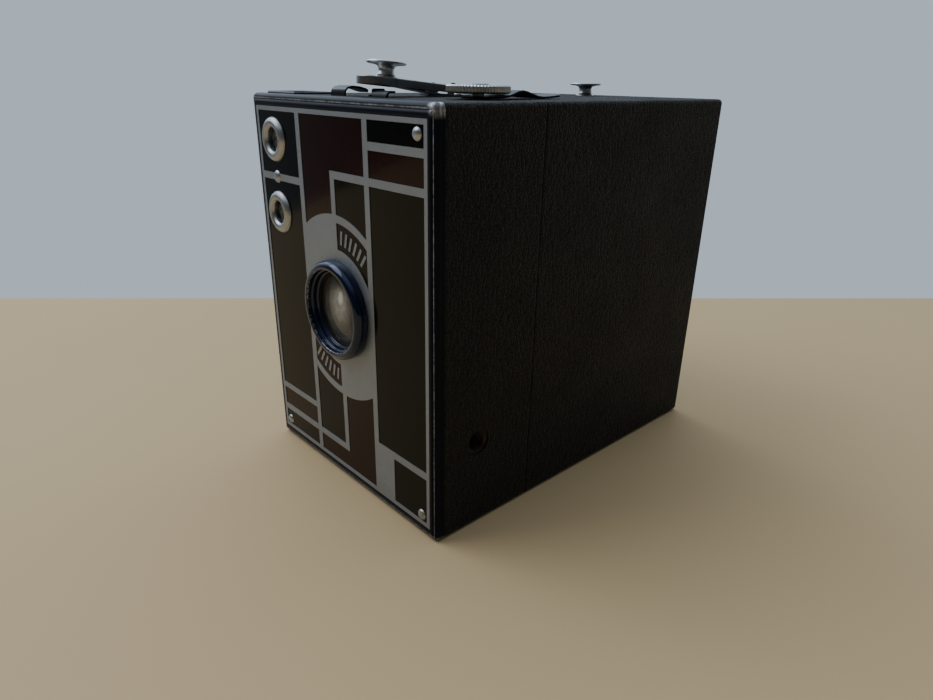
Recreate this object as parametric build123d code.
from build123d import *
import os
import math

# Roll-film box camera, 6 x 9 cm on 120-size film, with a decorated metal face.
# Frame: origin at the centre of the bottom face, +X to the right seen from the
# front, the decorated face looks towards -Y, +Z up. Millimetres.

# ---------------------------------------------------------------- driving sizes
BOX_W = 80.0            # width over the covering, X
BOX_H = 107.0           # height over the covering, Z
BOX_D = 116.0           # depth from face plate to back, Y
SEAM_DEPTH = 33.9       # from the face to the seam between the two sections
SEAM_GAP = 0.2          # visible gap at the seam
COVER_T = 0.45          # grained covering thickness
WALL = 1.2              # sheet case wall
BULKHEAD_T = 1.0        # front wall of the case, behind the face plate
EDGE_R = 1.3            # rounding of the covered long edges
CASE_R = 0.8            # rounding of the case's long edges, outside
CASE_INNER_R = 0.4      # the same, inside
GAP = 0.01              # play between parts that touch

PLATE_W = 75.2          # pressed face plate
PLATE_H = 100.6
PLATE_T = 1.0           # base thickness of the plate
LINE_H = 0.4            # height of the raised lines over the plate's base
ENAMEL_H = 0.24         # thickness of the enamel between the lines
DISC_R = 25.5           # plain disc round the lens

LENS_R = 13.6           # outer radius of the lens bezel
LENS_PROUD = 3.4        # bezel height over the plate
LENS_HOLE_R = 11.7      # hole for the lens barrel
EYELET_R = 5.9          # finder eyelet outer radius
FINDER_HOLE_R = 4.3
FINDER_X = -28.8        # finder windows
FINDER_Z_UP = 95.2
FINDER_Z_LOW = 75.4

STUD_R = 5.1            # strap stud head radius
STUD_H = 4.1            # strap stud height
WHEEL_R = 7.75          # knurled wheel
TRIPOD_MINOR_R = 2.5    # 1/4-20 thread, minor radius
TRIPOD_LEN = 4.6

SPOOL_L = 65.5          # film spool over its flanges
SPOOL_R = 12.6
SPOOL_Y = -29.5
SPOOL_Z_TOP = 92.0      # take-up spool, also the winding key's axis
SPOOL_Z_LOW = 15.0      # supply spool
GATE_W = 57.0
GATE_H = 83.0

# ---------------------------------------------------------------- derived planes
Y_FACE = -BOX_D / 2
Y_BACK = BOX_D / 2
Y_SEAM = Y_FACE + SEAM_DEPTH
Y_FRONT_END = Y_SEAM - SEAM_GAP / 2
Y_REAR_START = Y_SEAM + SEAM_GAP / 2
Y_BASE = Y_FACE + LINE_H              # plate base surface
Y_BULK = Y_BASE + PLATE_T             # front of the bulkhead
Y_BULK_IN = Y_BULK + BULKHEAD_T       # back of the bulkhead
Y_RIM_END = Y_BULK + 1.6              # back of the enamelled rim
Z_MID = BOX_H / 2
CASE_X = BOX_W / 2 - COVER_T          # outer face of the case's side
CASE_X_IN = CASE_X - WALL
CASE_Z_LOW = COVER_T
CASE_Z_TOP = BOX_H - COVER_T
ROOF_Z = CASE_Z_TOP - WALL            # inner face of the case's top
CUT_X_IN, CUT_X_OUT = CASE_X_IN - 1, BOX_W / 2 + 1    # reach of cutters through a side
CUT_Z_IN, CUT_Z_OUT = ROOF_Z - 1, BOX_H + 1           # reach of cutters through the top

os.makedirs("parts", exist_ok=True)


# ---------------------------------------------------------------- helpers
def block(x0, x1, y0, y1, z0, z1):
    """Axis-aligned block between two corners."""
    middle = Pos((x0 + x1) / 2, (y0 + y1) / 2, (z0 + z1) / 2)
    return middle * Box(abs(x1 - x0), abs(y1 - y0), abs(z1 - z0))


def cyl_x(radius, x0, x1, y, z):
    return Pos((x0 + x1) / 2, y, z) * Rot(0, 90, 0) * Cylinder(radius, abs(x1 - x0))


def cyl_y(radius, y0, y1, x, z):
    return Pos(x, (y0 + y1) / 2, z) * Rot(90, 0, 0) * Cylinder(radius, abs(y1 - y0))


def cyl_z(radius, z0, z1, x, y):
    return Pos(x, y, (z0 + z1) / 2) * Cylinder(radius, abs(z1 - z0))


def turn(points, x=0.0, y=0.0):
    """Solid of revolution about Z through (x, y); points are (radius, z)."""
    face = make_face(Polyline(*[(radius, 0, z) for radius, z in points], close=True))
    return Pos(x, y, 0) * revolve(face, Axis.Z, 360)


def turn_y(points, x, z, y=0.0):
    """Solid of revolution about a line along Y; points are (radius, distance behind y)."""
    return Pos(x, y, z) * Rot(90, 0, 0) * turn([(radius, -depth) for radius, depth in points])


def bent_strip(path, thickness, width, x, y):
    """Bent sheet strip centred at x; path is (distance behind y, height over the top face)."""
    path = [(y + behind, BOX_H + height) for behind, height in path]
    upper, lower = [], []
    for i, (py, pz) in enumerate(path):
        before = path[max(i - 1, 0)]
        after = path[min(i + 1, len(path) - 1)]
        dy, dz = after[0] - before[0], after[1] - before[1]
        length = math.hypot(dy, dz)
        ny, nz = -dz / length * thickness / 2, dy / length * thickness / 2
        upper.append((0, py + ny, pz + nz))
        lower.append((0, py - ny, pz - nz))
    face = make_face(Polyline(*(upper + lower[::-1]), close=True))
    return Pos(x - width / 2, 0, 0) * extrude(face, width, dir=(1, 0, 0))


def round_box(width, height, y0, y1, radius):
    """Block between y0 and y1 at mid height with its four long edges rounded."""
    outline = RectangleRounded(width, height, radius) if radius > 0 else Rectangle(width, height)
    return Pos(0, y1, Z_MID) * Rot(90, 0, 0) * extrude(outline, abs(y1 - y0))


def body_box(inset, y0, y1, radius):
    """Rounded block that lies inset from the outside of the camera on all four sides."""
    return round_box(BOX_W - 2 * inset, BOX_H - 2 * inset, y0, y1, radius)


def rect_uv(u0, u1, v0, v1):
    """Rectangle between two corners of a sketch."""
    return Pos((u0 + u1) / 2, (v0 + v1) / 2) * Rectangle(abs(u1 - u0), abs(v1 - v0))


def face_plane(y, z=Z_MID):
    """Sketch plane seen from the front: u to the right, v up."""
    return Plane(origin=(0, y, z), x_dir=(1, 0, 0), z_dir=(0, -1, 0))


def to_face(sketch, y_back, y_front):
    return extrude(face_plane(y_back) * sketch, abs(y_back - y_front))


def dome(radius, sag, steps=8):
    """Points (radius, height) of a spherical cap, from the rim to the axis."""
    sphere_r = (radius * radius + sag * sag) / (2 * sag)
    radii = [radius * (1 - i / steps) for i in range(steps + 1)]
    return [(r, math.sqrt(sphere_r * sphere_r - r * r) - (sphere_r - sag)) for r in radii]


def edges_at_y(shape, y):
    return [e for e in shape.edges() if abs(e.center().Y - y) < 1e-3]


def cut_all(shape, cutters):
    for cutter in cutters:
        shape -= cutter
    return shape


def save(name, *shapes):
    solids = [solid for shape in shapes for solid in shape.solids()]
    piece = solids[0] if len(solids) == 1 else Compound(children=solids)
    piece.label = name
    export_step(piece, "parts/" + name + ".step")


# ================================================================ front section
LEVER_X, LEVER_Z = -23.5, 36.0         # release lever pivot
LEVER_Y0, LEVER_Y1 = -54.1, -53.1
TRIPOD_Y = Y_FACE + 14.5
TRIPOD_Z = 24.8                        # bush on the right side
STOP_X, STOP_Y = -8.0, -49.7           # stop slide
TIME_X, TIME_Y = 8.0, -48.4            # time slide
SLIDE_T = 0.5
SLOT_PLAY = 0.35
POST_X, POST_Y = 0.0, Y_FACE + 15.0    # catch post
WHEEL_X, WHEEL_Y = 24.0, Y_FACE + 26.8
SCREEN_Y0, SCREEN_Y1 = Y_FACE + 3.4, Y_FACE + 14.2    # finder screens
FINDER_ZS = (FINDER_Z_UP, FINDER_Z_LOW)

# Face plate rivets: x, height over the middle, head radius.
RIVETS = [(34.1, 47.2, 1.55), (34.3, -47.4, 1.55), (-34.6, -47.3, 1.55), (-28.8, 31.75, 1.8)]
RIVET_HOLE_R = 0.8
HEAD_PLAY = 0.02


def front_hole(radius, x, z):
    """Cutter through face plate and bulkhead."""
    return cyl_y(radius, Y_FACE - 5, Y_BULK + 3, x, z)


def top_hole(radius, x, y):
    return cyl_z(radius, CUT_Z_IN, CUT_Z_OUT, x, y)


def top_slot(x, y, half_width):
    y0, y1 = y - SLOT_PLAY, y + SLOT_PLAY
    return block(x - half_width, x + half_width, y0, y1, CUT_Z_IN, CUT_Z_OUT)


def tripod_holes(radius):
    return [cyl_x(radius, CUT_X_IN, CUT_X_OUT, TRIPOD_Y, TRIPOD_Z),
            cyl_z(radius, BOX_H - CUT_Z_OUT, BOX_H - CUT_Z_IN, 0, TRIPOD_Y)]


def key_hole(radius):
    return cyl_x(radius, -CUT_X_OUT, -CUT_X_IN, SPOOL_Y, SPOOL_Z_TOP)


def screen_blocks(half, y0, y1, inward, outward):
    """Blocks at the top and left finder screens, measured from the case surface."""
    return [block(FINDER_X - half, FINDER_X + half, y0, y1,
                  CASE_Z_TOP - inward, CASE_Z_TOP + outward),
            block(-CASE_X - outward, -CASE_X + inward, y0, y1,
                  FINDER_Z_LOW - half, FINDER_Z_LOW + half)]


WINDOW_HOLES = [front_hole(LENS_HOLE_R, 0, Z_MID)]
WINDOW_HOLES += [front_hole(FINDER_HOLE_R, FINDER_X, z) for z in FINDER_ZS]
RIVET_HOLES = [front_hole(RIVET_HOLE_R, u, Z_MID + v) for u, v, _ in RIVETS]
SLOTS = [block(-CUT_X_OUT, -CUT_X_IN, LEVER_Y0 - SLOT_PLAY, LEVER_Y1 + SLOT_PLAY, 29.5, 42.5),
         top_slot(STOP_X, STOP_Y, 3.4), top_slot(TIME_X, TIME_Y, 3.3)]
SHANK_HOLES = [top_hole(1.25, POST_X, POST_Y), top_hole(1.5, WHEEL_X, WHEEL_Y)]


def front_case():
    """Four sheet walls and the bulkhead."""
    case = body_box(COVER_T, Y_BULK, Y_FRONT_END, CASE_R)
    case -= body_box(COVER_T + WALL, Y_BULK_IN, Y_FRONT_END + 5, CASE_INNER_R)
    screens = screen_blocks(6.0, SCREEN_Y0 + 0.6, SCREEN_Y1 - 0.6, WALL + 1, COVER_T + 1)
    return cut_all(case, WINDOW_HOLES + tripod_holes(4.6) + [key_hole(2.9)] + SLOTS
                   + screens + SHANK_HOLES + RIVET_HOLES)


def front_cover():
    """Grained covering on the four sides."""
    cover = body_box(0, Y_RIM_END + 0.02, Y_FRONT_END, EDGE_R)
    cover -= body_box(COVER_T, Y_RIM_END - 5, Y_FRONT_END + 5, CASE_R)
    screens = screen_blocks(7.4, Y_RIM_END, SCREEN_Y1 + 0.9, WALL + 1, COVER_T + 1)
    return cut_all(cover, tripod_holes(3.65) + [key_hole(4.0)] + SLOTS + screens + SHANK_HOLES)


def front_rim():
    """Enamelled L-section frame round the face, with a rolled outer edge and a fine groove."""
    front = Y_FACE + 0.15
    rim = body_box(0, front, Y_RIM_END, EDGE_R)
    rim = fillet(edges_at_y(rim, front), 1.15)
    rim -= round_box(PLATE_W + 0.04, PLATE_H + 0.04, Y_FACE - 5, Y_BULK + 0.001, 0)
    rim -= body_box(COVER_T, Y_BULK, Y_RIM_END + 5, CASE_R)
    groove = body_box(-1, Y_FACE + 2.05, Y_FACE + 2.3, 0)
    groove -= body_box(0.15, Y_FACE + 1.5, Y_FACE + 3.0, EDGE_R)
    return rim - groove


save("front_case", front_case())
save("front_cover", front_cover())
save("front_rim", front_rim())

# ---------------------------------------------------------------- face plate
# Face coordinates: u to the right, v up, from the middle of the face.
HALF_W, HALF_H = PLATE_W / 2, PLATE_H / 2
BORDER = 1.15
LEFT_U0, LEFT_U1 = -16.4, -14.4       # left upright
RIGHT_U0, RIGHT_U1 = 14.1, 16.1       # right upright
MID_U = 0.95                          # half width of the middle upright
RING_OUTER, RING_INNER = 23.5, 16.5   # recessed panels of the disc
BAR_R, BAR_L, BAR_W, BAR_STEP = 20.0, 3.6, 0.85, 6

# Raised lines and enamel areas: u0, u1, v0, v1.
RAISED_LINES = [
    (LEFT_U0, LEFT_U1, -HALF_H, HALF_H),
    (RIGHT_U0, RIGHT_U1, -HALF_H, HALF_H),
    (-MID_U, MID_U, 20.0, 36.3),
    (-MID_U, MID_U, -43.7, -20.0),
    (-MID_U, HALF_W, 34.4, 36.3),
    (RIGHT_U0, HALF_W, 42.5, 44.4),
    (-HALF_W, LEFT_U1, 30.8, 32.7),
    (-HALF_W, LEFT_U1, -35.8, -34.0),
    (-HALF_W, MID_U, -43.7, -41.8),
    (RIGHT_U0, HALF_W, -35.9, -33.9),
    (RIGHT_U0, 22.9, -HALF_H, -33.9),
]
MAROON_AREAS = [
    (LEFT_U1, RIGHT_U0, 36.3, HALF_H),
    (LEFT_U1, -MID_U, 10, HALF_H),
    (RIGHT_U1, HALF_W, 36.3, 42.5),
    (-HALF_W, LEFT_U0, -41.8, -35.8),
    (MID_U, RIGHT_U0, -HALF_H, -15),
    (LEFT_U1, RIGHT_U0, -HALF_H, -43.7),
    (LEFT_U1, -1.1, -25.0, -8.6),
]
BLACK_PANEL = (LEFT_U1, -MID_U, -43.7, -24.0)     # below the disc on the left


def line_pattern():
    """Raised lines, and the disc with two recessed ring panels that carry radial bars."""
    lines = Sketch() + rect_uv(-HALF_W, HALF_W, -HALF_H, HALF_H)
    lines -= rect_uv(-HALF_W + BORDER, HALF_W - BORDER, -HALF_H + BORDER, HALF_H - BORDER)
    for bounds in RAISED_LINES:
        lines += rect_uv(*bounds)
    lines += (Sketch() + Circle(DISC_R)) & rect_uv(LEFT_U0, RIGHT_U1, -30, 30)
    ring = Circle(RING_OUTER) - Circle(RING_INNER)
    lines -= ring & rect_uv(0.8, RIGHT_U0 - 0.01, 8.6, 30)
    lines -= ring & rect_uv(LEFT_U1 + 0.3, -1.1, -30, -8.6)
    for first_angle in (52, 232):
        for i in range(6):
            angle = first_angle + BAR_STEP * i
            lines += Rot(0, 0, angle) * Pos(BAR_R, 0) * Rectangle(BAR_L, BAR_W)
    return lines


def face_plate(lines):
    plate = to_face(rect_uv(-HALF_W, HALF_W, -HALF_H, HALF_H), Y_BULK, Y_BASE)
    plate += to_face(lines, Y_BASE + 0.05, Y_FACE)
    plate = cut_all(plate, WINDOW_HOLES + RIVET_HOLES)
    return cut_all(plate, [cyl_y(radius + HEAD_PLAY, Y_FACE - 5, Y_BASE, u, Z_MID + v)
                           for u, v, radius in RIVETS])


def enamel(area):
    """Enamel layer over an area, clear of the rivet heads and the eyelets."""
    layer = cut_all(to_face(area, Y_BASE, Y_BASE - ENAMEL_H), WINDOW_HOLES + RIVET_HOLES)
    layer = cut_all(layer, [front_hole(radius + HEAD_PLAY, u, Z_MID + v)
                            for u, v, radius in RIVETS])
    layer = cut_all(layer, [front_hole(EYELET_R + HEAD_PLAY, FINDER_X, z) for z in FINDER_ZS])
    return [solid for solid in layer.solids() if solid.volume > 0.05]


def face_rivet(u, v, radius):
    """Domed head on the plate, shank clenched behind the bulkhead."""
    inside = PLATE_T + BULKHEAD_T
    return turn_y([(0, -0.95), (radius * 0.35, -0.9), (radius * 0.68, -0.7),
                   (radius * 0.92, -0.35), (radius, 0), (0.79, 0), (0.79, inside),
                   (1.3, inside), (1.2, inside + 0.35), (0, inside + 0.4)],
                  u, Z_MID + v, Y_BASE)


raised = line_pattern()
maroon_area = Sketch()
for area_bounds in MAROON_AREAS:
    maroon_area += rect_uv(*area_bounds)
maroon_area -= rect_uv(*BLACK_PANEL)
field = (Sketch() + rect_uv(-HALF_W + 0.5, HALF_W - 0.5, -HALF_H + 0.5, HALF_H - 0.5)) - raised
save("face_plate", face_plate(raised))
save("enamel_maroon", *enamel(field & maroon_area))
save("enamel_black", *enamel(field - maroon_area))
save("face_rivets", *[face_rivet(*rivet) for rivet in RIVETS])

# ---------------------------------------------------------------- lens
# Bezel ring on the raised disc; its bore steps down to the front glass.
save("lens_bezel", turn_y([
    (LENS_R - 0.15, -GAP), (LENS_R, -0.5), (LENS_R, -1.6), (LENS_R - 0.15, -2.3),
    (LENS_R - 0.55, -2.9), (LENS_R - 1.15, -3.3), (LENS_R - 1.7, -LENS_PROUD),
    (LENS_R - 2.15, -3.3), (LENS_R - 2.35, -3.0), (LENS_R - 2.4, -2.0),
    (10.75, -1.75), (10.65, -0.6), (10.2, -0.35), (10.1, -GAP)], 0, Z_MID, Y_FACE))

# Barrel through plate and bulkhead, with a rear flange and a seat for the front glass.
BARREL_R = LENS_HOLE_R - 0.05
save("lens_barrel", turn_y([
    (BARREL_R, Y_FACE + GAP), (BARREL_R, Y_BULK_IN + GAP), (13.4, Y_BULK_IN + GAP),
    (13.4, Y_BULK_IN + 0.9), (8.4, Y_BULK_IN + 0.9), (8.4, Y_FACE + 3.0),
    (7.6, Y_FACE + 2.4), (7.6, Y_FACE + 1.9), (9.65, Y_FACE + 1.9),
    (9.65, Y_FACE + GAP)], 0, Z_MID))

# Front meniscus glass.
save("front_lens_glass", turn_y(
    [(9.6, 1.85), (9.6, 0.55)] + [(r, 0.55 - h) for r, h in dome(9.6, 1.5)[1:]]
    + [(r, 1.85 - 0.6 * h) for r, h in reversed(dome(7.4, 1.5))], 0, Z_MID, Y_FACE))

# ---------------------------------------------------------------- shutter
SHUTTER_Y0, SHUTTER_Y1 = -52.0, -51.2             # mounting plate
SHUTTER_X0, SHUTTER_X1 = -28.5, 20.0
SHUTTER_Z0, SHUTTER_Z1 = 22.0, 67.5
POST_INSET = 2.5
DISC_Y0, DISC_Y1 = -51.1, -50.7                   # rotary disc
DISC_X, DISC_Z = 0.0, Z_MID - 14.0
SHUTTER_DISC_R = 19.2
OPENING_R, OPENING_HALF = 14.0, 4.4               # curved opening: pitch radius, half width
POST_X0, POST_X1 = SHUTTER_X0 + POST_INSET, SHUTTER_X1 - POST_INSET
POST_Z0, POST_Z1 = SHUTTER_Z0 + POST_INSET, SHUTTER_Z1 - POST_INSET
POSTS = [(POST_X0, POST_Z1), (POST_X1, POST_Z1), (POST_X1, POST_Z0), (POST_X0, POST_Z0)]


def shutter_plate():
    """Plate on four posts, with a window for the release lever's pin."""
    holes = [(6.2, 0, Z_MID), (1.5, DISC_X, DISC_Z), (1.5, LEVER_X, LEVER_Z)]
    holes += [(1.0, x, z) for x, z in POSTS]
    plate = block(SHUTTER_X0, SHUTTER_X1, SHUTTER_Y0, SHUTTER_Y1, SHUTTER_Z0, SHUTTER_Z1)
    for radius, x, z in holes:
        plate -= cyl_y(radius, SHUTTER_Y0 - 1, SHUTTER_Y1 + 1, x, z)
    return plate - block(-15.5, -6.5, SHUTTER_Y0 - 1, SHUTTER_Y1 + 1, 26.0, 46.0)


def shutter_disc():
    """Rotary disc with one curved opening."""
    opening = Sketch()
    for i in range(9):
        angle = math.radians(90 + 28 + i * 5.5)
        centre = Pos(OPENING_R * math.cos(angle), OPENING_R * math.sin(angle))
        opening += centre * Circle(OPENING_HALF)
    outline = Circle(SHUTTER_DISC_R) - opening - Circle(1.52)
    return extrude(face_plane(DISC_Y1, DISC_Z) * outline, DISC_Y1 - DISC_Y0)


save("shutter_plate", shutter_plate())
save("shutter_posts", *[turn_y([
    (0, Y_BULK_IN + GAP), (2.0, Y_BULK_IN + GAP), (2.0, SHUTTER_Y0 - GAP),
    (0.98, SHUTTER_Y0 - GAP), (0.98, SHUTTER_Y1 + GAP), (1.5, SHUTTER_Y1 + GAP),
    (1.3, SHUTTER_Y1 + 0.4), (0, SHUTTER_Y1 + 0.4)], x, z) for x, z in POSTS])
save("shutter_disc", shutter_disc())
save("shutter_pivot", turn_y([
    (0, SHUTTER_Y0 - 0.6), (2.6, SHUTTER_Y0 - 0.6), (2.6, SHUTTER_Y0 - 0.02),
    (1.46, SHUTTER_Y0 - 0.02), (1.46, DISC_Y1 + 0.12), (2.6, DISC_Y1 + 0.12),
    (2.6, DISC_Y1 + 0.45), (0, DISC_Y1 + 0.45)], DISC_X, DISC_Z))

# Release lever: swings about an axis along Y, its finger pad outside the left side.
PAD_OUT, PAD_IN = -44.9 - LEVER_X, -43.5 - LEVER_X    # x of the pad from the pivot
PAD_HALF = 3.4
LEVER_REST = -8.0                                     # degrees


def release_lever():
    lever = block(PAD_OUT, 9.5, LEVER_Y0, LEVER_Y1, -1.6, 1.6)
    lever += cyl_y(3.4, LEVER_Y0, LEVER_Y1, 0, 0)
    lever += cyl_y(1.0, LEVER_Y1 - 0.01, -52.25, 8.4, 0)    # drive pin
    lever += block(PAD_OUT, PAD_IN, LEVER_Y0 - 0.6, LEVER_Y1 + 4.4, -PAD_HALF, PAD_HALF)
    lever -= cyl_y(1.53, LEVER_Y0 - 1, LEVER_Y1 + 1, 0, 0)
    corners = [e for e in lever.edges().filter_by(Axis.X)
               if e.center().X < PAD_IN and abs(abs(e.center().Z) - PAD_HALF) < 0.01]
    lever = fillet(corners, 0.9)
    return Pos(LEVER_X, 0, LEVER_Z) * Rot(0, LEVER_REST, 0) * lever


save("release_lever", release_lever())
save("lever_pivot", turn_y([
    (0, LEVER_Y0 - 0.7), (2.6, LEVER_Y0 - 0.7), (2.6, LEVER_Y0 - 0.08),
    (1.48, LEVER_Y0 - 0.08), (1.48, LEVER_Y1 + 0.08), (3.0, LEVER_Y1 + 0.08),
    (3.0, SHUTTER_Y0 - GAP), (1.45, SHUTTER_Y0 - GAP), (1.45, SHUTTER_Y1 + GAP),
    (2.3, SHUTTER_Y1 + GAP), (2.1, SHUTTER_Y1 + 0.35), (0, SHUTTER_Y1 + 0.35)],
    LEVER_X, LEVER_Z))

# Small upright coil spring in front of the shutter plate.
helix = Helix(pitch=0.62, height=9.3, radius=1.0)
coil = sweep(Plane(origin=helix @ 0, z_dir=helix % 0) * Circle(0.2), path=helix)
save("lever_spring", Pos(-12.2, -53.32, 50.5) * coil)

# ---------------------------------------------------------------- slides
STRIP_TOP = BOX_H - 0.2               # where the flat strips meet their bent tabs
STOP_HALF, TIME_HALF = 3.2, 3.0       # half widths of the tabs
STOP_RADII = (4.5, 3.2, 2.2)          # openings, from the top down
STOP_PITCH = 13.0

# Finger tabs: distance behind the slide, height over the top face.
STOP_TAB = [(0, -0.3), (0, 0.6), (0.25, 1.3), (0.9, 1.85), (2.4, 2.15),
            (4.6, 1.95), (6.4, 1.5), (7.8, 0.95)]
TIME_TAB = [(0, -0.3), (0, 0.3), (0.25, 0.85), (0.9, 1.15), (2.6, 1.2)]


def upright_strip(outline, y):
    return Pos(0, y + SLIDE_T / 2, 0) * Rot(90, 0, 0) * extrude(outline, SLIDE_T)


def stop_slide():
    """Strip with three openings and a finger tab above the top face."""
    outline = rect_uv(-14.2, 9.0, 8.8, 62.0)
    outline += rect_uv(STOP_X - STOP_HALF, STOP_X + STOP_HALF, 61.0, STRIP_TOP)
    slide = upright_strip(outline, STOP_Y)
    for i, radius in enumerate(STOP_RADII):
        slide -= cyl_y(radius, STOP_Y - 1, STOP_Y + 1, 0, Z_MID - i * STOP_PITCH)
    slide += bent_strip(STOP_TAB, SLIDE_T, 2 * STOP_HALF, STOP_X, STOP_Y)
    corners = [e for e in slide.edges()
               if abs(e.center().Y - (STOP_Y + 7.8)) < 0.3 and e.center().Z > 107.4
               and abs(abs(e.center().X - STOP_X) - STOP_HALF) < 0.05 and e.length < 0.8]
    return fillet(corners, 1.8)


def time_slide():
    """Narrow stepped strip to the right of the stop slide's tab."""
    outline = rect_uv(TIME_X - TIME_HALF, TIME_X + TIME_HALF, 79.0, STRIP_TOP)
    outline += rect_uv(TIME_X - TIME_HALF, TIME_X - 0.4, 66.0, 80.0)
    slide = upright_strip(outline, TIME_Y)
    return slide + bent_strip(TIME_TAB, SLIDE_T, 2 * TIME_HALF, TIME_X, TIME_Y)


save("stop_slide", stop_slide())
save("time_slide", time_slide())

# Guide rails beside the stop slide, bridged at the top, and the rear plate behind them.
GUIDE_X0, GUIDE_X1 = -16.8, 11.6
GUIDE_Z0, GUIDE_Z1 = 24.0, 70.0
GUIDE_Y0, GUIDE_Y1 = -50.6, -46.9
REAR_PLATE_Y0, REAR_PLATE_Y1 = -46.88, -46.1

guide = block(GUIDE_X0, -14.26, GUIDE_Y0, GUIDE_Y1, GUIDE_Z0, GUIDE_Z1)
guide += block(9.06, GUIDE_X1, GUIDE_Y0, GUIDE_Y1, GUIDE_Z0, GUIDE_Z1)
guide += block(GUIDE_X0, GUIDE_X1, -47.7, GUIDE_Y1, 64.0, GUIDE_Z1)
guide -= block(-14.3, 9.1, -50.7, -47.9, 60, 75)
save("slide_guide", guide)

rear_plate = block(GUIDE_X0, GUIDE_X1, REAR_PLATE_Y0, REAR_PLATE_Y1, GUIDE_Z0, GUIDE_Z1)
rear_plate -= cyl_y(6.3, REAR_PLATE_Y0 - 1, REAR_PLATE_Y1 + 1, 0, Z_MID)
save("shutter_rear_plate", rear_plate)
save("rear_lens_ring", turn_y([
    (6.28, REAR_PLATE_Y0 + 0.02), (6.28, REAR_PLATE_Y1 + GAP), (8.6, REAR_PLATE_Y1 + GAP),
    (8.6, REAR_PLATE_Y1 + 3.0), (7.3, REAR_PLATE_Y1 + 3.0), (7.3, REAR_PLATE_Y1 + 0.7),
    (5.3, REAR_PLATE_Y1 + 0.7), (5.3, REAR_PLATE_Y0 + 0.02)], 0, Z_MID))
save("rear_lens_glass", turn_y(
    [(7.26, 0), (7.26, 0.9)] + [(r, 0.9 + h) for r, h in dome(7.26, 1.0)[1:]]
    + [(r, 0.55 * h) for r, h in reversed(dome(5.2, 0.9))],
    0, Z_MID, REAR_PLATE_Y1 + 0.72))

# ---------------------------------------------------------------- finders
HOUSING_Y0, HOUSING_Y1 = Y_BULK + 1.65, Y_FACE + 14.6
HOUSING_T = 0.5
HOUSING_HALF = 6.6
EYELET_PROFILE = [
    (EYELET_R, -GAP), (EYELET_R, -0.35), (EYELET_R - 0.35, -0.95), (EYELET_R - 1.1, -1.4),
    (EYELET_R - 1.75, -1.45), (EYELET_R - 2.35, -1.2), (3.1, -0.6), (3.1, PLATE_T + 1.6),
    (5.2, PLATE_T + 1.6), (5.2, PLATE_T + BULKHEAD_T + GAP),
    (4.25, PLATE_T + BULKHEAD_T + GAP), (4.25, -GAP)]
FINDER_LENS = [(3.06, 1.4), (3.06, 0.6)]
FINDER_LENS += [(r, 0.6 - h) for r, h in dome(3.06, 0.9)[1:]] + [(0, 1.4)]

save("finder_eyelets", *[turn_y(EYELET_PROFILE, FINDER_X, z, Y_BASE) for z in FINDER_ZS])
save("finder_lenses", *[turn_y(FINDER_LENS, FINDER_X, z, Y_BASE) for z in FINDER_ZS])


def finder_housings():
    """Thin boxes behind the windows, the upper open upwards, the lower open to the left."""
    x0, x1 = FINDER_X - HOUSING_HALF, FINDER_X + HOUSING_HALF
    y0, y1 = HOUSING_Y0, HOUSING_Y1
    inner_y0, inner_y1 = y0 + HOUSING_T, y1 - HOUSING_T
    up_z0 = FINDER_Z_UP - HOUSING_HALF
    low_z0, low_z1 = FINDER_Z_LOW - HOUSING_HALF, FINDER_Z_LOW + HOUSING_HALF
    upper = block(x0, x1, y0, y1, up_z0, ROOF_Z - 0.02)
    upper -= block(x0 + HOUSING_T, x1 - HOUSING_T, inner_y0, inner_y1, up_z0 + HOUSING_T, 110)
    upper -= cyl_y(3.6, y0 - 1, y0 + 1, FINDER_X, FINDER_Z_UP)
    lower = block(-CASE_X_IN + 0.02, x1, y0, y1, low_z0, low_z1)
    lower -= block(-60, x1 - HOUSING_T, inner_y0, inner_y1, low_z0 + HOUSING_T, low_z1 - HOUSING_T)
    lower -= cyl_y(3.6, y0 - 1, y0 + 1, FINDER_X, FINDER_Z_LOW)
    return upper, lower


def finder_mirrors():
    """Mirrors at 45 degrees: the upper turns the view up, the lower turns it left."""
    length = (HOUSING_Y1 - HOUSING_Y0 - 2 * HOUSING_T) * math.sqrt(2) - 1.6
    y_mid = (HOUSING_Y0 + HOUSING_Y1) / 2
    upper = Pos(FINDER_X, y_mid, FINDER_Z_UP) * Rot(45, 0, 0) * Box(11.6, length, 0.7)
    lower = Pos(FINDER_X, y_mid, FINDER_Z_LOW) * Rot(0, 0, -45) * Box(0.7, length, 11.6)
    return upper, lower


def frame_ring(x, half=7.3, border=1.6, height=1.0):
    """Bevelled rectangular ring on the XY plane, centred at x."""
    y0, y1 = Y_RIM_END + 0.1, SCREEN_Y1 + 0.8
    ring = block(x - half, x + half, y0, y1, 0, height)
    ring = chamfer(ring.edges().group_by(Axis.Z)[-1], 0.3)
    return ring - block(x - half + border, x + half - border, y0 + border, y1 - border,
                        -2 * height, 2 * height)


save("finder_housings", *finder_housings())
save("finder_mirrors", *finder_mirrors())
save("finder_screens", *screen_blocks(5.9, SCREEN_Y0 + 0.7, SCREEN_Y1 - 0.7, WALL, -0.05))
save("finder_screen_frames", Pos(0, 0, CASE_Z_TOP) * frame_ring(FINDER_X),
     Pos(-CASE_X, 0, 0) * Rot(0, -90, 0) * frame_ring(FINDER_Z_LOW))

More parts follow.
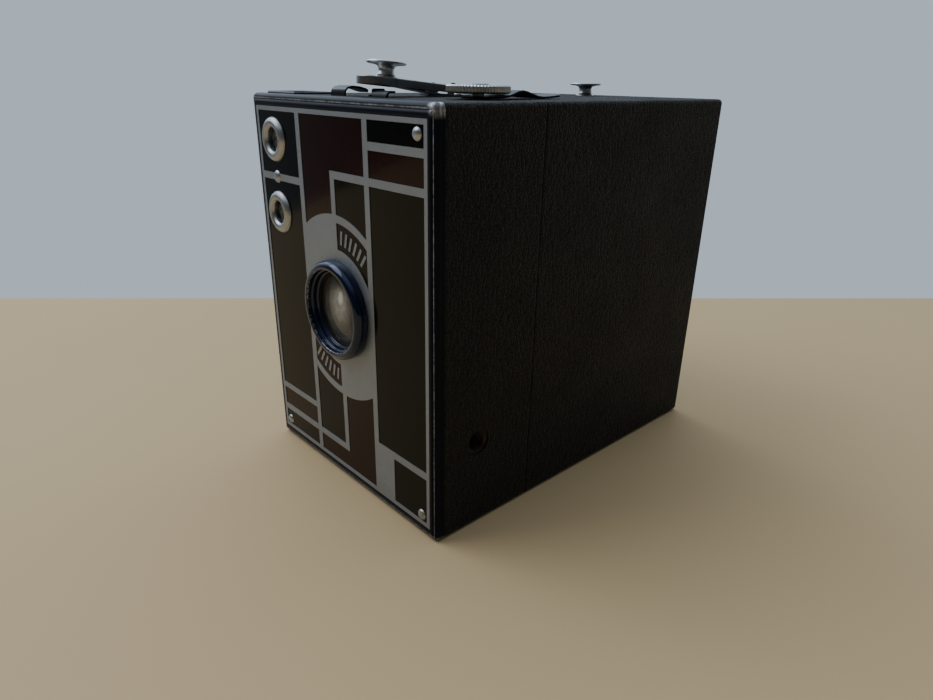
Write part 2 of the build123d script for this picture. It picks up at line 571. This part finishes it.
# ---------------------------------------------------------------- tripod bushes
# Socket with its flange against the inside of the case wall; mouth at z = 0.
bush = turn([(TRIPOD_MINOR_R, -0.35), (3.1, 0), (4.5, 0), (4.5, -WALL - 0.02),
             (6.2, -WALL - 0.02), (6.2, -WALL - 1.0), (4.5, -WALL - 1.0),
             (4.5, -TRIPOD_LEN - 0.35), (TRIPOD_MINOR_R, -TRIPOD_LEN - 0.35)])
save("tripod_bushes", Pos(CASE_X, TRIPOD_Y, TRIPOD_Z) * Rot(0, 90, 0) * bush,
     Pos(0, TRIPOD_Y, CASE_Z_LOW) * Rot(180, 0, 0) * bush)

# ---------------------------------------------------------------- top of the front section
save("catch_post", turn([
    (0, ROOF_Z - 0.5), (2.0, ROOF_Z - 0.5), (2.0, ROOF_Z - GAP), (1.2, ROOF_Z - GAP),
    (1.2, BOX_H + GAP), (2.6, BOX_H + GAP), (2.6, BOX_H + 0.4), (1.7, BOX_H + 0.7),
    (1.7, BOX_H + 1.5), (1.4, BOX_H + 1.8), (0, BOX_H + 1.8)], POST_X, POST_Y))
save("wheel_stem", turn([
    (0, ROOF_Z - 0.6), (2.8, ROOF_Z - 0.6), (2.8, ROOF_Z - GAP), (1.45, ROOF_Z - GAP),
    (1.45, BOX_H + 3.17), (2.6, BOX_H + 3.17), (2.4, BOX_H + 3.42), (0, BOX_H + 3.5)],
    WHEEL_X, WHEEL_Y))

WHEEL_Z0, WHEEL_Z1 = BOX_H + 1.25, BOX_H + 3.15
KNURLS = 60


def knurled_wheel():
    """Wheel on the stem, with V-shaped nicks round its rim."""
    wheel = turn([
        (1.52, WHEEL_Z0), (WHEEL_R - 0.5, WHEEL_Z0), (WHEEL_R, WHEEL_Z0 + 0.3),
        (WHEEL_R, WHEEL_Z1 - 0.3), (WHEEL_R - 0.5, WHEEL_Z1), (WHEEL_R - 1.6, WHEEL_Z1),
        (WHEEL_R - 2.0, WHEEL_Z1 - 0.25), (3.4, WHEEL_Z1 - 0.25), (3.2, WHEEL_Z1),
        (1.52, WHEEL_Z1)])
    nick = Pos(WHEEL_R + 0.12, 0, (WHEEL_Z0 + WHEEL_Z1) / 2) * Rot(0, 0, 45)
    nick *= Box(0.56, 0.56, 3.0)
    wheel -= [Rot(0, 0, i * 360 / KNURLS) * nick for i in range(KNURLS)]
    return Pos(WHEEL_X, WHEEL_Y, 0) * wheel


# Arched leaf: distance behind the wheel's axis, height over the top face.
LEAF_PATH = [(-3.4, 0.34), (2.4, 0.34), (4.6, 0.46), (6.2, 0.70), (7.4, 0.94), (8.4, 1.28),
             (9.6, 1.66), (11.0, 1.82), (12.6, 1.58), (14.6, 1.0), (16.6, 0.52),
             (18.6, 0.36), (21.0, 0.42), (24.0, 0.66), (27.0, 0.92)]
LEAF_W = 9.0


def clamp_leaf():
    """Arched leaf under the wheel that reaches over the seam, with rounded corners."""
    leaf = bent_strip(LEAF_PATH, 0.5, LEAF_W, WHEEL_X, WHEEL_Y)
    leaf -= cyl_z(1.5, BOX_H - 1, BOX_H + 1.1, WHEEL_X, WHEEL_Y)
    corners = [e for e in leaf.edges()
               if abs(abs(e.center().X - WHEEL_X) - LEAF_W / 2) < 0.02 and e.length < 0.9
               and (e.center().Y > WHEEL_Y + 26.8 or e.center().Y < WHEEL_Y - 3.2)]
    return fillet(corners, 3.2)


save("knurled_wheel", knurled_wheel())
save("clamp_leaf", clamp_leaf())

# ---------------------------------------------------------------- film carrier
SIDE_X0, SIDE_X1 = 33.7, 34.4         # sheet sides
CARRIER_Y = -42.6                     # front of the carrier
GATE_Y = 48.0
ROLLER_Y = GATE_Y - 5.0
ROLLER_ZS = (Z_MID + 46.0, Z_MID - 46.0)


def carrier_side(side):
    """Sheet side, notched at its edges; side is 1 for right, -1 for left (key side)."""
    near, far = side * 30, side * 40
    plate = block(side * SIDE_X0, side * SIDE_X1, CARRIER_Y, GATE_Y, 2.6, 104.4)
    plate -= block(near, far, -12.0, 30.0, 84.0, 110.0)
    plate -= block(near, far, -12.0, 30.0, -5.0, 23.0)
    plate -= block(near, far, CARRIER_Y - 1, -40.6, 79.0, 110.0)
    for z in ROLLER_ZS:
        plate -= cyl_x(1.0, near, far, ROLLER_Y, z)
    plate -= cyl_x(1.1 if side > 0 else 4.6, near, far, SPOOL_Y, SPOOL_Z_TOP)
    plate -= cyl_x(1.1, near, far, SPOOL_Y, SPOOL_Z_LOW)
    return plate


def frustum(width0, height0, y0, width1, height1, y1):
    front = face_plane(y0) * Rectangle(width0, height0)
    rear = face_plane(y1) * Rectangle(width1, height1)
    return loft(Sketch() + [front, rear])


def light_cone():
    """Thin-walled pyramid between the lens and the film gate."""
    y0 = CARRIER_Y + 0.82
    cone = frustum(25.0, 25.0, y0, GATE_W + 1.6, GATE_H + 1.6, GATE_Y - 0.02)
    return cone - frustum(23.4, 23.4, y0 - 0.001, GATE_W, GATE_H, GATE_Y - 0.019)


def front_web():
    """Cross plate at the carrier's front with a square lens opening."""
    edge = SIDE_X0 - GAP
    web = block(-edge, edge, CARRIER_Y, CARRIER_Y + 0.8, 28.6, 78.4)
    return web - block(-11.7, 11.7, CARRIER_Y - 1, CARRIER_Y + 2, Z_MID - 11.7, Z_MID + 11.7)


def film_gate():
    gate = block(-SIDE_X1, SIDE_X1, GATE_Y + GAP, GATE_Y + 1.0, 8.5, 98.5)
    gate -= block(-GATE_W / 2, GATE_W / 2, GATE_Y - 1, GATE_Y + 2,
                  Z_MID - GATE_H / 2, Z_MID + GATE_H / 2)
    return fillet([e for e in gate.edges().filter_by(Axis.Y)
                   if abs(abs(e.center().X) - GATE_W / 2) < 0.01], 1.5)


save("light_cone", light_cone())
save("carrier_frame", carrier_side(1), carrier_side(-1), front_web())
save("film_gate", film_gate())

# Spacer blocks between the carrier and the case sides.
save("carrier_spacers", *[
    block(side * (SIDE_X1 + GAP), side * (CASE_X_IN - GAP), -41.0, -33.0, z - 4.0, z + 4.0)
    for side in (1, -1) for z in (46.0, 61.0)])

for roller_name, roller_z in zip(("film_roller_top", "film_roller_bottom"), ROLLER_ZS):
    save(roller_name, cyl_x(3.4, -30.5, 30.5, ROLLER_Y, roller_z)
         - cyl_x(1.05, -31, 31, ROLLER_Y, roller_z))
save("roller_pins", *[cyl_x(0.98, -35.0, 35.0, ROLLER_Y, z) for z in ROLLER_ZS])

# ---------------------------------------------------------------- spools and winding key
# Spool pin: radius, distance from the middle of the camera.
SPOOL_PIN = [(0, 35.2), (2.4, 35.2), (2.4, 34.41), (1.09, 34.41), (1.09, 33.68),
             (2.15, 33.68), (2.15, 33.0), (1.9, 30.6), (1.4, 30.2), (0, 30.2)]
# Three pins; the winding key serves the fourth corner.
save("spool_pins", *[
    Pos(0, SPOOL_Y, z) * Rot(0, 90 * side, 0) * turn(SPOOL_PIN)
    for side, z in ((1, SPOOL_Z_TOP), (1, SPOOL_Z_LOW), (-1, SPOOL_Z_LOW))])


def spool():
    """Spool about Z: core and two flanges, bored and slotted for the key at both ends."""
    half = SPOOL_L / 2
    core = Cylinder(6.0, SPOOL_L - 1.64)
    flanges = []
    for end in (1, -1):
        flange = Pos(0, 0, end * (half - 0.4)) * Cylinder(SPOOL_R, 0.8)
        cutters = [Pos(0, 0, end * half) * Cylinder(2.2, 12.0),
                   Pos(0, 0, end * half) * Box(1.5, 9.0, 4.4)]
        flanges.append(cut_all(flange, cutters))
        core = cut_all(core, cutters)
    core -= Box(13.0, 0.9, 40.0) - Box(1.0, 1.2, 41)    # film slots
    return [core] + flanges


for spool_name, spool_z in (("takeup_spool", SPOOL_Z_TOP), ("supply_spool", SPOOL_Z_LOW)):
    spool_place = Pos(0, SPOOL_Y, spool_z) * Rot(0, 90, 0) * Rot(0, 0, 90)
    save(spool_name, *[spool_place * piece for piece in spool()])

# Key parts: local Z is 0 at the outer face of the covering and points out to the left.
KEY_R = 1.9
KEY_PLACE = Pos(-BOX_W / 2, SPOOL_Y, SPOOL_Z_TOP) * Rot(0, -90, 0)


def winding_key():
    """Shaft with blade and shoulder inside, dished head and flat wing outside."""
    depth = (BOX_W - SPOOL_L) / 2     # of the spool's end face
    key = cyl_z(KEY_R, 0.4 - depth, 0.9, 0, 0)
    key += Pos(0, 0, -depth - 0.6) * Box(1.2, 8.0, 2.2)
    key += Pos(0, 0, -depth + 0.95) * Cylinder(2.4, 1.2)
    key += turn([(0, 0.5), (4.6, 0.5), (4.9, 0.8), (4.9, 1.5), (4.2, 2.0), (2.6, 2.3),
                 (2.2, 3.0), (0, 3.0)])
    wing = Rot(0, -90, 0) * Pos(5.6, 0, -0.7) * extrude(RectangleRounded(7.2, 16.0, 3.3), 1.4)
    wing -= Box(6, 20, 5.2)
    key += wing
    return KEY_PLACE * Rot(0, 0, 90) * key


save("winding_key", winding_key())
save("key_bush", KEY_PLACE * turn([
    (KEY_R + 0.05, 0.35), (3.6, 0.35), (3.95, 0.1), (3.95, -COVER_T + GAP),
    (2.85, -COVER_T + GAP), (2.85, -WALL - COVER_T - 0.6),
    (KEY_R + 0.05, -WALL - COVER_T - 0.6)]))
save("key_collar", KEY_PLACE * turn([
    (KEY_R + 0.04, -5.5), (3.1, -5.5), (3.1, -4.75), (KEY_R + 0.04, -4.75)]))

# Light-trap sleeve inside the front case, standing into the rear section.
SLEEVE_Y0, SLEEVE_Y1 = -26.2, -16.5
save("light_trap_sleeve",
     body_box(COVER_T + WALL + 0.1, SLEEVE_Y0, SLEEVE_Y1, 0.4)
     - body_box(COVER_T + WALL + 0.6, SLEEVE_Y0 - 1, SLEEVE_Y1 + 1, 0.3))

# ================================================================ rear section
FRONT_STUD_Y = Y_FACE + 17.3
REAR_STUD_Y = Y_FACE + 98.3
WINDOW_Z, WINDOW_R = 30.0, 6.5        # red window
PIN_DEPTH = 36.2                      # catch hinge pin, from the face
PIN_Y, PIN_Z = Y_FACE + PIN_DEPTH, BOX_H + 1.9
Y_CASE_BACK = Y_BACK - COVER_T
Y_CASE_BACK_IN = Y_CASE_BACK - WALL
BRACKET_HOLES = [top_hole(0.7, x, PIN_Y + 0.2) for x in (6.0, -6.0)]
REAR_HOLES = [cyl_y(WINDOW_R, Y_BACK - 5, Y_BACK + 5, 0, WINDOW_Z),
              top_hole(1.42, 0, REAR_STUD_Y)] + BRACKET_HOLES

rear_body = body_box(COVER_T, Y_REAR_START, Y_CASE_BACK, CASE_R)
rear_body = fillet(edges_at_y(rear_body, Y_CASE_BACK), 0.7)
rear_case = rear_body - body_box(COVER_T + WALL, Y_REAR_START - 5, Y_CASE_BACK_IN, CASE_INNER_R)
save("rear_case", cut_all(rear_case, REAR_HOLES))

rear_cover = body_box(0, Y_REAR_START, Y_BACK, EDGE_R)
rear_cover = fillet(edges_at_y(rear_cover, Y_BACK), 1.15)
rear_cover -= rear_body
save("rear_cover", cut_all(rear_cover, REAR_HOLES))

save("red_window", cyl_y(8.6, Y_CASE_BACK_IN - 0.82, Y_CASE_BACK_IN - 0.02, 0, WINDOW_Z))
save("red_window_rim", turn_y([
    (5.6, Y_CASE_BACK_IN - GAP), (5.6, Y_BACK + 0.15), (6.1, Y_BACK + 0.5),
    (7.2, Y_BACK + 0.5), (7.8, Y_BACK + 0.25), (7.8, Y_BACK + GAP),
    (6.45, Y_BACK + GAP), (6.45, Y_CASE_BACK_IN - GAP)], 0, WINDOW_Z))

# ---------------------------------------------------------------- studs and catch
# Strap stud above its seat: flared foot, waisted neck, thin rounded head (radius, height).
STUD_PROFILE = [
    (1.38, GAP), (3.0, GAP), (2.85, 0.25), (2.3, 0.75), (2.08, 1.5), (2.06, 2.15),
    (2.3, 2.75), (3.2, 3.0), (STUD_R - 0.45, 3.15), (STUD_R - 0.05, 3.35), (STUD_R, 3.55),
    (STUD_R - 0.2, 3.8), (STUD_R - 0.8, 3.98), (3.0, 4.08), (0, STUD_H)]
STUD_END = -COVER_T - WALL - 0.61     # clenched end of the rear stud
save("rear_strap_stud", Pos(0, REAR_STUD_Y, BOX_H) * turn(
    [(0, STUD_END), (2.4, STUD_END), (2.4, STUD_END + 0.6), (1.38, STUD_END + 0.6)]
    + STUD_PROFILE))

# Catch lever in its own frame: hinge pin at the origin, nose towards -Y.
TILT = -4.6                           # degrees
LEVER_T, LEVER_DEPTH, LEVER_TOP = 0.75, 1.9, 0.9
NOSE_Y, TAIL_Y = 9.4 - PIN_DEPTH, 1.1
NOSE_R = 4.5
STUD_FROM_PIN = FRONT_STUD_Y - PIN_Y
CATCH_PLACE = Pos(0, PIN_Y, PIN_Z) * Rot(TILT, 0, 0)


def catch_lever():
    """Inverted pressed tray with a rounded nose."""
    nose_centre = NOSE_Y + NOSE_R
    plan = Polygon((-3.7, TAIL_Y), (-NOSE_R, nose_centre), (NOSE_R, nose_centre),
                   (3.7, TAIL_Y), align=None) + Pos(0, nose_centre) * Circle(NOSE_R)
    plan_inner = offset(plan, amount=-LEVER_T)
    tray = extrude(plan, LEVER_DEPTH)
    top_edges = tray.edges().group_by(Axis.Z)[-1]
    tray = fillet([e for e in top_edges if e.center().Y < TAIL_Y - 0.05], 0.35)
    tray -= extrude(plan_inner, LEVER_DEPTH - LEVER_T)
    tray = Pos(0, 0, LEVER_TOP - LEVER_DEPTH) * tray
    tray -= cyl_x(0.83, -8, 8, 0, 0)
    tray -= block(-2.95, 2.95, -1.0, TAIL_Y + 1, -1.5, 0.15)
    tray -= cyl_z(1.4, -5, 5, 0, STUD_FROM_PIN)
    return CATCH_PLACE * tray


save("catch_lever", catch_lever())
save("front_strap_stud", CATCH_PLACE * Pos(0, STUD_FROM_PIN, LEVER_TOP) * turn(
    [(0, -0.35 - LEVER_T), (2.2, -0.35 - LEVER_T), (2.3, -GAP - LEVER_T),
     (1.38, -GAP - LEVER_T)] + STUD_PROFILE))

EAR_X0, EAR_X1 = 3.85, 4.45
FOOT_X = 7.4
FOOT_Z0, FOOT_Z1 = BOX_H + GAP, BOX_H + 0.51


def catch_bracket():
    """Two ears with outward feet, joined by a bridge behind the lever."""
    bracket = block(-FOOT_X, FOOT_X, PIN_Y + 2.2, PIN_Y + 4.6, FOOT_Z0, FOOT_Z1)
    for side in (1, -1):
        x0, x1 = side * EAR_X0, side * EAR_X1
        bracket += block(x0, side * FOOT_X, PIN_Y - 1.9, PIN_Y + 2.3, FOOT_Z0, FOOT_Z1)
        ear = cyl_x(1.5, x0, x1, PIN_Y, PIN_Z)
        ear += block(x0, x1, PIN_Y - 1.5, PIN_Y + 1.5, FOOT_Z0, PIN_Z)
        bracket += ear
    bracket -= cyl_x(0.79, -8, 8, PIN_Y, PIN_Z)
    return cut_all(bracket, BRACKET_HOLES)


save("catch_bracket", catch_bracket())
save("catch_pin", cyl_x(0.78, -4.6, 4.6, PIN_Y, PIN_Z) + cyl_x(1.15, 4.48, 4.85, PIN_Y, PIN_Z)
     + cyl_x(1.15, -4.85, -4.48, PIN_Y, PIN_Z))
save("bracket_rivets", *[turn([
    (0, ROOF_Z + 0.02), (0.69, ROOF_Z + 0.02), (0.69, BOX_H + 0.52), (1.25, BOX_H + 0.52),
    (1.1, BOX_H + 0.85), (0.6, BOX_H + 1.05), (0, BOX_H + 1.1)], x, PIN_Y + 0.2)
    for x in (6.0, -6.0)])

# Lift spring under the lever: distance behind the pin, height over the top face.
SPRING_PATH = [(4.4, 0.67), (1.8, 0.67), (-1.0, 0.45), (-5.0, 0.75), (-10.0, 1.45),
               (-15.0, 2.2), (-15.9, 2.25)]
save("catch_spring", bent_strip(SPRING_PATH, 0.28, 4.6, 0, PIN_Y))
